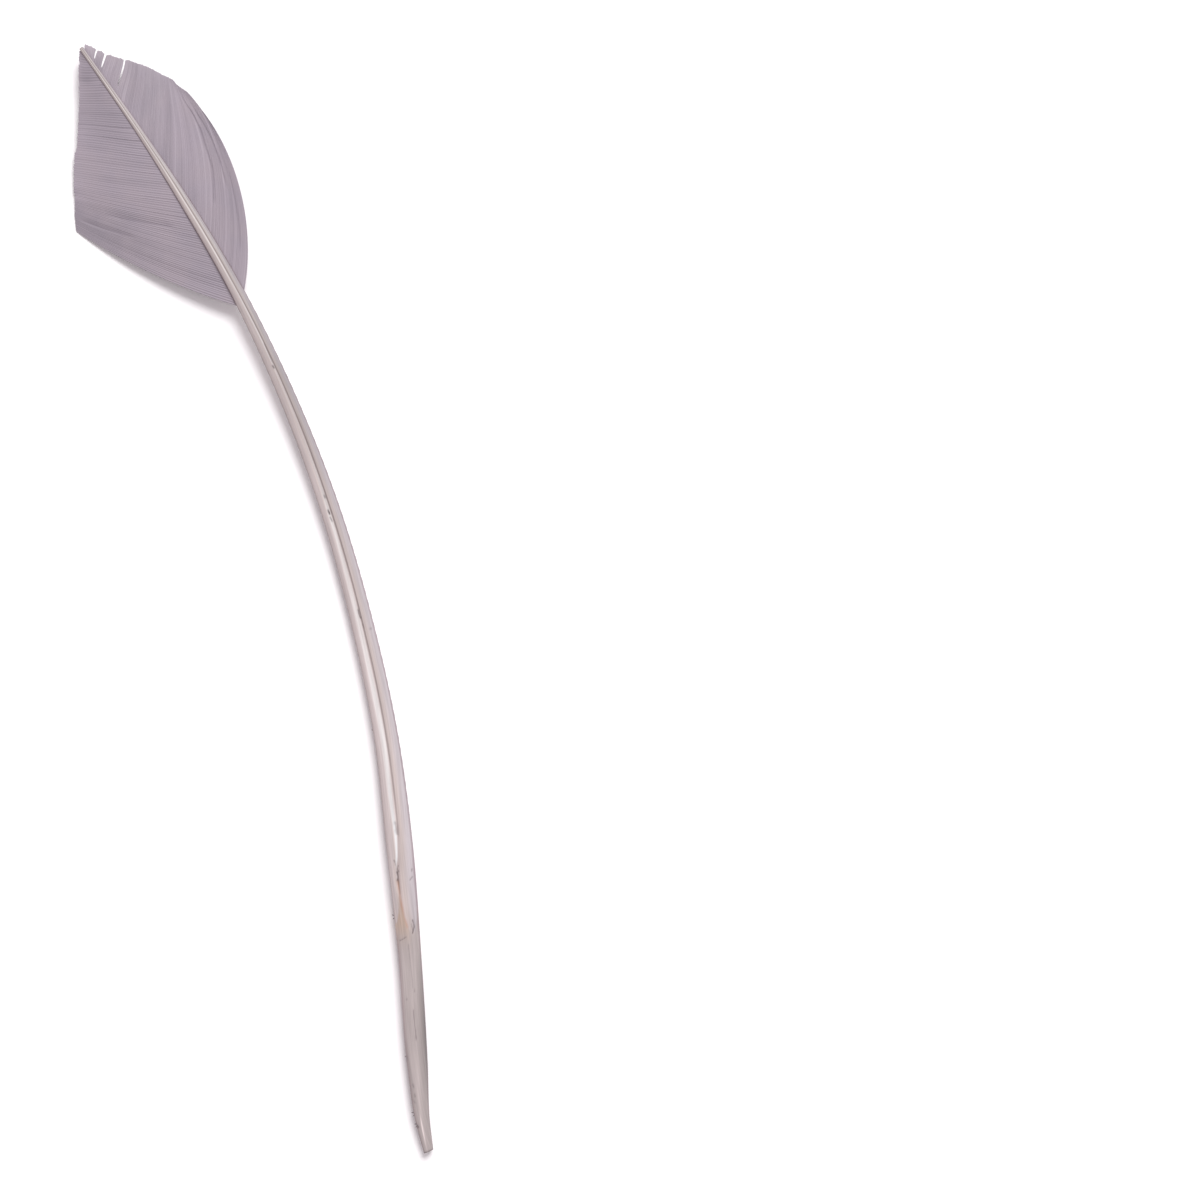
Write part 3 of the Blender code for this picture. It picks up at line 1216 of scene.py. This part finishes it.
@dataclass
class Vane:
    """One side's barbs, each a ridge on a thin sheet that stops at the scissor cut.

    A row of barbs holds where a measured barb leaves the shaft, where it ends (x, y, z),
    and the directions in which it leaves and ends, in degrees outwards from the Y axis.
    """

    name: str
    side: Side
    barbs: SmoothTable
    finish: bpy.types.Material
    # How far the dark line beside the shaft covers the barbs' roots: partly a reddish stain
    # of the shaft's edge, partly painted shade.
    root_tint_and_shade: float
    splits: tuple[Split, ...] = ()
    creases: tuple[Crease, ...] = ()
    patches: tuple[Patch, ...] = ()
    # Where the barbs are crimped, and how high the waves are in millimetres.
    crimps: tuple[Patch, ...] = ()
    # Barbs that end proud of the outline or short of it: place and millimetres.
    trim: Rows = ((0, 0), (305, 0))
    seed: int = 1
    # A real one has about 150 barbs a side here. They are drawn coarser, so that each
    # still shows as a line in the render.
    barb_count: int = 130
    uneven_pitch: float = 0.16
    steps: int = 88
    # The columns lie this much closer together at both ends.
    end_crowding: float = 0.6
    root_inset: float = 0.14
    seat: float = 0.56
    droop: float = 1.25

    ramus_height: float = 0.125
    uneven_height: float = 0.2
    ramus_foot: float = 0.22
    # The height and the paleness of the web, a foot of the ramus and its crest.
    kind_height: tuple[float, float, float] = (0.0, 0.25, 1.0)
    kind_paleness: tuple[float, float, float] = (0.0, 0.35, 1.0)
    # A ramus gets this much lower towards its end.
    end_fade: float = 0.55
    web_thickness: float = 0.07
    rib_beneath: float = 0.06
    # How far the sheet keeps off the table, and how thin it may get there.
    clearance: float = 0.03
    least_thickness: float = 0.04
    # Barbs no further apart than the start keep the least share of their ridge. It grows
    # to the whole over the reach.
    least_ridge: float = 0.35
    crowd_starts: float = 0.12
    crowd_reach: float = 0.26

    # How far the barbs wander along the shaft, and the rows and columns that it spans.
    wanders: tuple[tuple[float, Pair], ...] = ((0.08, (30, 16)), (0.02, (12, 14)))
    wander_fades: float = 2.5
    freedom: float = 0.7
    # The broad undulation, and locks of a few barbs that lie a little proud of the rest.
    sways: tuple[tuple[float, Pair], ...] = ((0.06, (60, 16)), (0.015, (9, 14)))
    crimp_pitch: float = 1.3
    crimp_slip: float = 0.25
    slip_blur: Pair = (10, 10)

    # A split opens by this power of the way out, and pushes barbs this many millimetres
    # away aside. The corners beside it are rounded off.
    opening: float = 0.6
    push_reach: float = 2.5
    corner_cut: float = 0.35
    corner_reach: float = 0.45
    # The scissors left the barbs even to about a tenth of a millimetre, and the web that
    # much shorter than its barbs.
    uneven_cut: float = 0.07
    cut_blur: Pair = (14, 0.1)
    web_short: float = 0.16
    least_length: float = 1.5

    # A crease fades in and out over these shares of a barb, and its painted shade is narrower.
    crease_starts: float = 0.08
    crease_ends: float = 0.12
    shade_share: float = 0.55
    widest_shade: float = 1.0
    # How much the tone varies from barb to barb, and over streaks and broad washes.
    barb_tone: float = 0.18
    tones: tuple[tuple[float, Pair], ...] = ((0.15, (5, 14)), (0.16, (40, 12)))
    root_reach: float = 0.35
    crisp_angle: float = 70.0

    def middle(self, leaves: np.ndarray, share: np.ndarray) -> np.ndarray:
        """Points on the middle of the sheet.

        Args:
            leaves: where the barbs leave the shaft.
            share: how far out along them, from 0 to 1.

        Returns:
            The points, in millimetres.
        """
        side = self.side.value
        end_x, end_y, end_z, leave_angle, end_angle = self.barbs.at(leaves)
        bow, width, depth = LINE.sections.at(leaves)
        start_x = bow + side * self.root_inset * width
        reach = np.hypot(end_x - start_x, end_y - leaves) / 3
        out = side * np.radians(leave_angle)
        home = side * np.radians(end_angle)
        rest = 1 - share
        weights = (rest**3, 3 * rest**2 * share, 3 * rest * share**2, share**3)
        handles_x = (start_x, start_x + reach * np.sin(out), end_x - reach * np.sin(home), end_x)
        handles_y = (leaves, leaves + reach * np.cos(out), end_y - reach * np.cos(home), end_y)
        x = sum(weight * handle for weight, handle in zip(weights, handles_x))
        y = sum(weight * handle for weight, handle in zip(weights, handles_y))
        root_z = LINE.underside(leaves) + self.seat * depth
        z = root_z + (end_z - root_z) * share**self.droop
        return np.stack([x, y, z], axis=-1)

    def barb_rows(self, rng: np.random.Generator) -> BarbRows:
        """Lays out the barbs along the shaft, each as a web, two feet and a crest.

        Args:
            rng: the source of the random numbers.

        Returns:
            The lines.
        """
        lowest, topmost = self.barbs.rows[0][0], self.barbs.rows[-1][0]
        pitch = (topmost - lowest) / self.barb_count
        nudge = rng.uniform(-self.uneven_pitch, self.uneven_pitch, self.barb_count) * pitch
        centres = lowest + pitch * (np.arange(self.barb_count) + 0.5) + nudge
        valleys = np.concatenate([[lowest], (centres[1:] + centres[:-1]) / 2, [topmost]])
        foot = self.ramus_foot * pitch
        places = np.stack([valleys[:-1], centres - foot, centres, centres + foot], axis=1)
        places = np.append(places.ravel(), topmost)
        kind = np.append(np.tile(BARB_LINES, self.barb_count), WEB)
        barb = np.minimum(np.arange(len(places)) // len(BARB_LINES), self.barb_count - 1)
        return BarbRows(places, kind, barb, valleys, pitch)

    def wandering(
        self, rows: BarbRows, share: np.ndarray, free: np.ndarray, rng: np.random.Generator
    ) -> np.ndarray:
        """Where each point's barb leaves the shaft: barbs wander a little on their way out.

        Args:
            rows: the vane's lines.
            share: how far out along its barb each point is.
            free: how free it is to lie out of line.
            rng: the source of the random numbers.

        Returns:
            The places along the shaft, which stay put at both ends of a barb.
        """
        leaves = np.repeat(rows.places[:, None], share.shape[1], axis=1)
        wander = sum(smooth_noise(rng, share.shape, blur) * far for far, blur in self.wanders)
        inner = smooth_step((leaves - rows.valleys[0]) / self.wander_fades)
        inner = inner * smooth_step((rows.valleys[-1] - leaves) / self.wander_fades)
        return leaves + wander * free * inner

    def cut_lengths(
        self, rows: BarbRows, corners: np.ndarray, rng: np.random.Generator
    ) -> tuple[np.ndarray, np.ndarray]:
        """Trims each line unevenly, as scissors do.

        Args:
            rows: the vane's lines.
            corners: how far each is cut back beside a split.
            rng: the source of the random numbers.

        Returns:
            The lengths in millimetres before the trim, and the share of them that is left.
        """
        count = len(rows.places)
        ends = self.middle(rows.places, np.ones(count))
        length = np.linalg.norm(ends - self.middle(rows.places, np.zeros(count)), axis=-1)
        ragged = rng.normal(0, self.uneven_cut, self.barb_count)[rows.barb]
        ragged = ragged + np.interp(rows.places, *np.array(self.trim).T)
        broad = smooth_noise(rng, (count, 1), self.cut_blur).ravel()
        ragged = ragged + broad * self.uneven_cut + corners
        ragged = ragged - np.where(rows.kind == WEB, self.web_short, 0.0)
        return length, 1 + ragged / np.maximum(length, self.least_length)

    def crease_depth(
        self, leaves: np.ndarray, share: np.ndarray
    ) -> tuple[np.ndarray, np.ndarray]:
        """How far the creases press the sheet down, and the painted shade along them.

        Args:
            leaves: where each point's barb leaves the shaft.
            share: how far out along it the point is.

        Returns:
            The depth in millimetres and the darkness of the painted shade.
        """
        depth = np.zeros(share.shape)
        shade = np.zeros(share.shape)
        for crease in self.creases:
            place, along = np.array(crease.path).T
            offset = leaves - np.interp(share, along, place)
            width = np.where(offset < 0, crease.near_width, crease.far_width)
            window = smooth_step((share - along[0]) / self.crease_starts)
            window = window * smooth_step((along[-1] - share) / self.crease_ends)
            dark_width = self.shade_share * np.minimum(width, self.widest_shade)
            depth += crease.depth * hill(offset / width) * window
            shade += crease.darkness * hill(offset / dark_width) * window
        return depth, shade

    def split_open(
        self, rows: BarbRows, columns: np.ndarray, leaves: np.ndarray
    ) -> tuple[np.ndarray, np.ndarray, np.ndarray]:
        """Opens the splits in the sheet.

        Args:
            rows: the vane's lines.
            columns: how far out along the barbs the grid's columns are.
            leaves: where each point's barb leaves the shaft.

        Returns:
            The places with the barbs beside a split pushed apart, which cells the sheet
            keeps, and how far each line is cut back beside a split.
        """
        lines = len(BARB_LINES)
        count = len(rows.places)
        kept = np.ones((count - 1, len(columns) - 1), bool)
        corners = np.zeros(count)
        for split in self.splits:
            row = lines * int(np.argmin(np.abs(rows.valleys - split.place)))
            row = min(max(row, lines), count - 1 - lines)
            opened = (columns[None, :] - split.whole_share) / (1 - split.whole_share)
            away = np.arange(count)[:, None] - row
            push = np.exp(-np.abs(away) * rows.pitch / lines / self.push_reach)
            push = push * split.half_gap * np.clip(opened, 0, 1) ** self.opening
            leaves = leaves + np.sign(away) * push
            kept[row - 1 : row + 1, :] &= columns[None, :-1] < split.whole_share
            corners -= self.corner_cut * hill((rows.places - rows.places[row]) / self.corner_reach)
        return np.clip(leaves, rows.valleys[0], rows.valleys[-1]), kept, corners

    def tone(
        self, rows: BarbRows, leaves: np.ndarray, share: np.ndarray, rng: np.random.Generator
    ) -> np.ndarray:
        """How light each point is, by barb, streak, wash and patch; some patches are painted sheen.

        Args:
            rows: the vane's lines.
            leaves: where each point's barb leaves the shaft.
            share: how far out along it the point is.
            rng: the source of the random numbers.

        Returns:
            The tone, from -1 for the darkest to 1 for the lightest.
        """
        tone = self.barb_tone * rng.standard_normal(self.barb_count)[rows.barb][:, None]
        for strength, blur in self.tones:
            tone = tone + strength * smooth_noise(rng, share.shape, blur)
        for patch in self.patches:
            tone = tone + patch.cover(leaves, share)
        return np.clip(tone, -1, 1)

    def root_stain_and_shade(self, points: np.ndarray) -> np.ndarray:
        """How far the root line beside the shaft covers a point: partly stain, partly painted
        shade.

        Args:
            points: points of the sheet, in millimetres.

        Returns:
            The cover, from 0 to the root's tint.
        """
        beside = np.clip(points[..., 1], 0, CHORD)
        bow, width, _ = LINE.sections.at(beside)
        _, along_y = LINE.heading(beside)
        off_shaft = np.abs(points[..., 0] - bow) * along_y - width / 2
        return smooth_step(1 - off_shaft / self.root_reach) * self.root_tint_and_shade

    def build(self) -> bpy.types.Object:
        """Makes the sheet with its barbs, gaps and folds, and dresses it.

        Returns:
            The vane.
        """
        rng = np.random.default_rng(self.seed)
        rows = self.barb_rows(rng)
        t = np.linspace(0, 1, self.steps + 1)
        columns = t - self.end_crowding * np.sin(2 * math.pi * t) / (2 * math.pi)
        shape = (len(rows.places), len(columns))
        share = np.repeat(columns[None, :], shape[0], axis=0)
        free = np.sin(math.pi * share) ** self.freedom
        leaves = self.wandering(rows, share, free, rng)
        leaves, kept, corners = self.split_open(rows, columns, leaves)
        length, left_over = self.cut_lengths(rows, corners, rng)
        share = share * left_over[:, None]
        points = self.middle(leaves, share)
        depth, shade = self.crease_depth(leaves, share)
        points[..., 2] -= depth
        for sway, blur in self.sways:
            points[..., 2] += smooth_noise(rng, shape, blur) * sway * free
        slip = self.crimp_slip * smooth_noise(rng, shape, self.slip_blur)
        for crimp in self.crimps:
            turns = share * length[:, None] / self.crimp_pitch + slip
            points[..., 2] += crimp.cover(leaves, share) * np.sin(2 * math.pi * turns)

        # Where the barbs crowd together their ridges are lower and show less.
        lines = len(BARB_LINES)
        apart = np.linalg.norm(points[lines:, :, :2] - points[:-lines, :, :2], axis=-1)
        apart = np.pad(apart, ((lines // 2, lines // 2), (0, 0)), mode="edge")
        room = smooth_step((apart - self.crowd_starts) / self.crowd_reach)
        room = self.least_ridge + (1 - self.least_ridge) * room
        relief = np.array(self.kind_height)[rows.kind][:, None]
        relief = relief * (1 - self.end_fade * share) * room
        uneven = 1 + self.uneven_height * rng.standard_normal(self.barb_count)
        height = self.ramus_height * uneven[rows.barb][:, None]
        top = points.copy()
        top[..., 2] += self.web_thickness / 2 + height * relief
        low = points.copy()
        low[..., 2] -= self.web_thickness / 2 + self.rib_beneath * relief
        low[..., 2] = np.maximum(low[..., 2], self.clearance)
        top[..., 2] = np.maximum(top[..., 2], low[..., 2] + self.least_thickness)

        values = {
            "tone": self.tone(rows, leaves, share, rng),
            "ridge": np.array(self.kind_paleness)[rows.kind][:, None] * room,
            "crease": np.clip(shade, 0, 1),
            "root": self.root_stain_and_shade(points),
        }

        # Points that no face uses, inside a split, are left out.
        faces = np.array(self.sheet_faces(kept, shape))
        both = np.concatenate([top.reshape(-1, 3), low.reshape(-1, 3)])
        used = np.unique(faces)
        number = np.zeros(len(both), int)
        number[used] = np.arange(len(used))
        for key, numbers in values.items():
            values[key] = np.tile(numbers.ravel(), 2)[used]
        piece = make_mesh(self.name, both[used], number[faces].tolist(), values, self.crisp_angle)
        piece.data.materials.append(self.finish)
        return piece

    def sheet_faces(self, kept: np.ndarray, shape: tuple[int, int]) -> list[list[int]]:
        """Faces of a closed sheet over the kept cells of a grid.

        Args:
            kept: which cells the sheet has.
            shape: rows and columns of grid points. The top is numbered first.

        Returns:
            Vertex numbers round each face, seen from outside.
        """
        above = np.arange(shape[0] * shape[1]).reshape(shape)
        below = above + shape[0] * shape[1]
        turn = self.side.value
        faces = []
        start, end = slice(None, -1), slice(1, None)
        around = ((start, start), (end, start), (end, end), (start, end))
        for layer, way in ((above, -turn), (below, turn)):
            quad = np.stack([layer[corner] for corner in around], axis=-1)[kept]
            faces += quad[:, ::way].tolist()
        ringed = np.pad(kept, 1)
        for row, column in np.argwhere(kept):
            sides = (
                (ringed[row, column + 1], (row, column + 1), (row, column)),
                (ringed[row + 2, column + 1], (row + 1, column), (row + 1, column + 1)),
                (ringed[row + 1, column], (row, column), (row + 1, column)),
                (ringed[row + 1, column + 2], (row + 1, column + 1), (row, column + 1)),
            )
            for neighbour, first, last in sides:
                if not neighbour:
                    wall = [above[last], above[first], below[first], below[last]]
                    faces.append([int(corner) for corner in wall][::-turn])
        return faces


@dataclass
class SheathFlakes:
    """Specks of dried sheath that stand out from the calamus's left edge.

    A row holds the distance from the cut end, the place across, the flake's length and
    the direction in which it points, in degrees outwards from the Y axis.
    """

    finish: bpy.types.Material
    flakes: Rows = (
        (10.6, -0.99, 0.9, 60),
        (10.0, -0.98, 0.6, 110),
        (7.7, -0.95, 0.7, 75),
        (7.1, -0.96, 0.5, 120),
        (61.6, -0.99, 0.9, 50),
        (60.9, -0.99, 0.6, 95),
        (110.2, -0.99, 0.5, 40),
        (25.2, -0.99, 0.4, 80),
    )
    half_width: float = 0.14
    thickness: float = 0.07
    steps: int = 6
    # Shares: of the shaft's depth where a flake sits, of its length inside the skin, of its
    # length that its tip curls up by, and of its width that is left at the tip.
    seat: float = 0.55
    rooted: float = 0.25
    curl: float = 0.35
    tip_share: float = 0.02
    darkness: float = 0.8
    crisp_angle: float = 50.0

    def build(self) -> bpy.types.Object:
        """Makes each flake as a short curled blade and joins them in one mesh.

        Returns:
            The flakes.
        """
        points, faces = [], []
        for place, across, length, turn in self.flakes:
            y = np.array(float(place))
            bow, width, depth = (float(value) for value in LINE.sections.at(y))
            along_x, along_y = (float(value) for value in LINE.heading(y))
            side = across * width / 2
            seat = float(LINE.underside(y)) + depth * self.seat
            root = np.array([bow + side * along_y, place - side * along_x, seat])
            angle = math.radians(turn)
            out = np.array([-math.sin(angle), math.cos(angle), 0.0])
            beside = np.array([out[1], -out[0], 0.0])
            first = len(points)
            for step in range(self.steps + 1):
                share = step / self.steps
                middle = root + out * length * (share - self.rooted)
                middle[2] += self.curl * length * share**2
                half = self.half_width * math.sqrt(max(1 - share, self.tip_share))
                section = (
                    (-half, 0),
                    (0, self.thickness),
                    (half, 0),
                    (0, -self.thickness / 2),
                )
                for sideways, lift in section:
                    points.append(middle + beside * sideways + np.array([0, 0, lift]))
            for step in range(self.steps):
                for i in range(4):
                    j = (i + 1) % 4
                    a, b = first + 4 * step, first + 4 * (step + 1)
                    faces.append([a + i, a + j, b + j, b + i])
            faces.append([first + i for i in reversed(range(4))])
            faces.append([first + 4 * self.steps + i for i in range(4)])
        size = len(points)
        values = {key: np.zeros(size) for key in DyedKeratin.reads}
        values |= {"wash": np.ones(size), "scuff": np.full(size, self.darkness)}
        piece = make_mesh("sheath_flakes", np.array(points), faces, values, self.crisp_angle)
        piece.data.materials.append(self.finish)
        return piece


@dataclass
class PaleTable:
    """The pale floor, the soft light and the camera that looks straight down."""

    finish: bpy.types.Material
    floor_half: float = 3.0
    world_colour: str = "FBF1F6"
    world_strength: float = 0.62
    # The picture's frame: its middle in the working frame, its width and its turn.
    view_middle: Pair = (86.83, 125.5)
    view_width: float = 316.9
    view_turn: float = -17.41
    lens: float = 100.0
    sensor: float = 36.0
    focus_height: float = 3.0
    # The key light stands beyond the picture's top edge.
    key_turn: float = 66.0
    key_height: float = 52.0
    key_distance: float = 2.4
    key_size: float = 1.3
    key_power: float = 53.0

    def floor(self) -> None:
        """A broad flat sheet of paper at table height."""
        half = self.floor_half
        corners = [(-half, -half, 0), (half, -half, 0), (half, half, 0), (-half, half, 0)]
        mesh = bpy.data.meshes.new("table")
        mesh.from_pydata(corners, [], [(0, 1, 2, 3)])
        mesh.materials.append(self.finish)
        table = bpy.data.objects.new("table", mesh)
        bpy.context.scene.collection.objects.link(table)

    def light(self) -> None:
        """One broad key light and a pale surround that fills the shadows."""
        turn = math.radians(self.key_turn + self.view_turn)
        height = math.radians(self.key_height)
        toward = np.array(
            [math.cos(height) * math.cos(turn), math.cos(height) * math.sin(turn), math.sin(height)]
        )
        lamp = bpy.data.lights.new("key", "AREA")
        lamp.shape = "DISK"
        lamp.size = self.key_size
        lamp.energy = self.key_power
        key = bpy.data.objects.new("key", lamp)
        key.location = toward * self.key_distance
        key.rotation_euler = (math.pi / 2 - height, 0.0, turn + math.pi / 2)
        bpy.context.scene.collection.objects.link(key)
        world = bpy.data.worlds.new("pale surround")
        world.use_nodes = True
        surround = world.node_tree.nodes["Background"]
        surround.inputs["Color"].default_value = linear_colour(self.world_colour)
        surround.inputs["Strength"].default_value = self.world_strength
        bpy.context.scene.world = world

    def camera(self) -> None:
        """A long lens straight above the middle of the picture's frame."""
        lens = bpy.data.cameras.new("camera")
        lens.lens = self.lens
        lens.sensor_width = self.sensor
        above = self.view_width * self.lens / self.sensor
        view = bpy.data.objects.new("camera", lens)
        place = np.array([*self.view_middle, above + self.focus_height])
        view.location = (place - MIDDLE) * MM
        view.rotation_euler = (0.0, 0.0, math.radians(self.view_turn))
        bpy.context.scene.collection.objects.link(view)
        bpy.context.scene.camera = view


LEFT_BARBS = SmoothTable(
    (
        (227.0, -16.4, 260.3, 0.3, 56, 39),
        (238.8, -15.4, 263.9, 0.6, 58, 48),
        (247.0, -14.4, 266.8, 1.0, 61, 54),
        (260.4, -12.4, 273.0, 1.8, 66, 61),
        (270.0, -9.9, 279.8, 2.5, 69, 66),
        (277.0, -7.8, 284.4, 3.0, 71, 69),
        (289.5, -4.8, 292.7, 4.2, 73, 72),
        (303.6, -0.8, 304.6, 5.6, 74, 73),
    )
)
RIGHT_BARBS = SmoothTable(
    (
        (229.5, 23.7, 283.9, 3.2, 30, -26),
        (238.5, 22.9, 286.2, 3.3, 23, -25),
        (245.5, 21.4, 288.0, 3.5, 23, -22),
        (256.0, 20.3, 290.1, 3.9, 20, -6),
        (268.0, 18.7, 291.8, 4.3, 19, 9),
        (278.0, 15.3, 295.1, 4.7, 20, 17),
        (290.6, 9.8, 299.2, 5.2, 27, 24),
        (297.6, 5.4, 302.1, 5.6, 33, 31),
        (300.8, 3.4, 304.0, 5.7, 35, 33),
        (303.9, 1.2, 305.6, 5.9, 40, 38),
    )
)
LEFT_CREASES = (
    Crease(((249.2, 0.20), (248.6, 0.36), (248.0, 0.51), (246.8, 0.78)), 0.16, 0.7, 1.6, 0.35),
    Crease(((240.4, 0.55), (239.7, 0.69), (238.8, 0.83), (237.9, 1.0)), 0.18, 0.7, 1.6, 0.35),
)
LEFT_PATCHES = (
    Patch(237, 0.87, 9, 0.35, -1.0),
    Patch(247, 0.66, 4, 0.25, -0.3),
    Patch(288, 0.5, 10, 0.6, -0.25),
    Patch(254, 0.55, 7, 0.3, 0.12),
    Patch(268, 0.55, 9, 0.4, 0.2),
    Patch(240, 0.15, 10, 0.2, -0.2),
    Patch(250, 0.95, 4, 0.1, 0.3),
)
LEFT_CRIMPS = (
    Patch(241, 0.26, 6, 0.14, 0.03),
    Patch(252, 0.35, 6, 0.2, 0.015),
    Patch(272, 0.45, 6, 0.2, 0.012),
)
# The scissors left the barbs below the middle of the edge a little longer.
LEFT_TRIM = (
    (227, 0.0),
    (240, 0.15),
    (258, 0.3),
    (269.6, 0.38),
    (270.6, -0.08),
    (290, 0.0),
    (305, 0.0),
)
RIGHT_CREASES = (
    Crease(
        ((237.5, 0.40), (238.7, 0.49), (241.0, 0.66), (244.2, 0.79), (245.6, 0.9)),
        0.24,
        0.6,
        1.5,
        0.35,
    ),
    Crease(
        ((245.9, 0.20), (245.0, 0.45), (247.0, 0.58), (247.3, 0.69), (249.0, 0.79), (253.5, 0.9)),
        0.28,
        0.6,
        1.6,
        0.4,
    ),
    Crease(((232.9, 0.15), (233.3, 0.30), (234.7, 0.48), (235.5, 0.62)), 0.20, 0.5, 1.2, 0.25),
)
# The first two patches are a painted sheen, lighter in the middle of the right vane.
RIGHT_PATCHES_AND_SHEEN = (
    Patch(258, 0.42, 8, 0.3, 0.6),
    Patch(246, 0.28, 5, 0.25, 0.5),
    Patch(244, 0.56, 4, 0.2, -0.1),
    Patch(238, 0.12, 6, 0.2, 0.15),
    Patch(242, 0.78, 5, 0.16, -0.2),
    Patch(233, 0.5, 3, 0.3, -0.15),
    Patch(252, 0.1, 6, 0.08, -0.25),
    Patch(282, 0.5, 7, 0.5, -0.95),
    Patch(298, 0.5, 6, 0.5, -0.4),
)
RIGHT_TRIM = (
    (229.5, 0.15),
    (230.2, -0.15),
    (231.0, 0.2),
    (231.8, 0.0),
    (233.4, 0.15),
    (234.0, -0.1),
    (239.4, 0.1),
    (240.0, -0.2),
    (241.4, 0.1),
    (247.2, 0.25),
    (248.4, 0.3),
    (249.2, -0.3),
    (252.0, 0.1),
    (260.0, 0.0),
    (305.0, 0.0),
)
RIGHT_SPLITS = (Split(299.9, 0.40, 0.14), Split(297.0, 0.33, 0.20), Split(290.1, 0.28, 0.17))


def main() -> None:
    """Builds the feather's pieces, then the table, the light and the camera."""
    logging.basicConfig(level=logging.INFO, format="%(message)s")
    bpy.context.scene.view_settings.view_transform = "Standard"
    keratin = DyedKeratin().material()
    barbs = DyedBarbs().material()
    shaft = QuillShaft(keratin)
    left_vane = Vane(
        "left_vane",
        Side.LEFT,
        LEFT_BARBS,
        barbs,
        root_tint_and_shade=0.14,
        creases=LEFT_CREASES,
        patches=LEFT_PATCHES,
        crimps=LEFT_CRIMPS,
        trim=LEFT_TRIM,
        seed=3,
        barb_count=98,
    )
    right_vane = Vane(
        "right_vane",
        Side.RIGHT,
        RIGHT_BARBS,
        barbs,
        root_tint_and_shade=0.08,
        splits=RIGHT_SPLITS,
        creases=RIGHT_CREASES,
        patches=RIGHT_PATCHES_AND_SHEEN,
        trim=RIGHT_TRIM,
        seed=5,
    )
    for part in (shaft, left_vane, right_vane, SheathFlakes(keratin)):
        report(part.build())
    table = PaleTable(MattPaper().material())
    table.floor()
    table.light()
    table.camera()


if __name__ == "__main__":
    main()
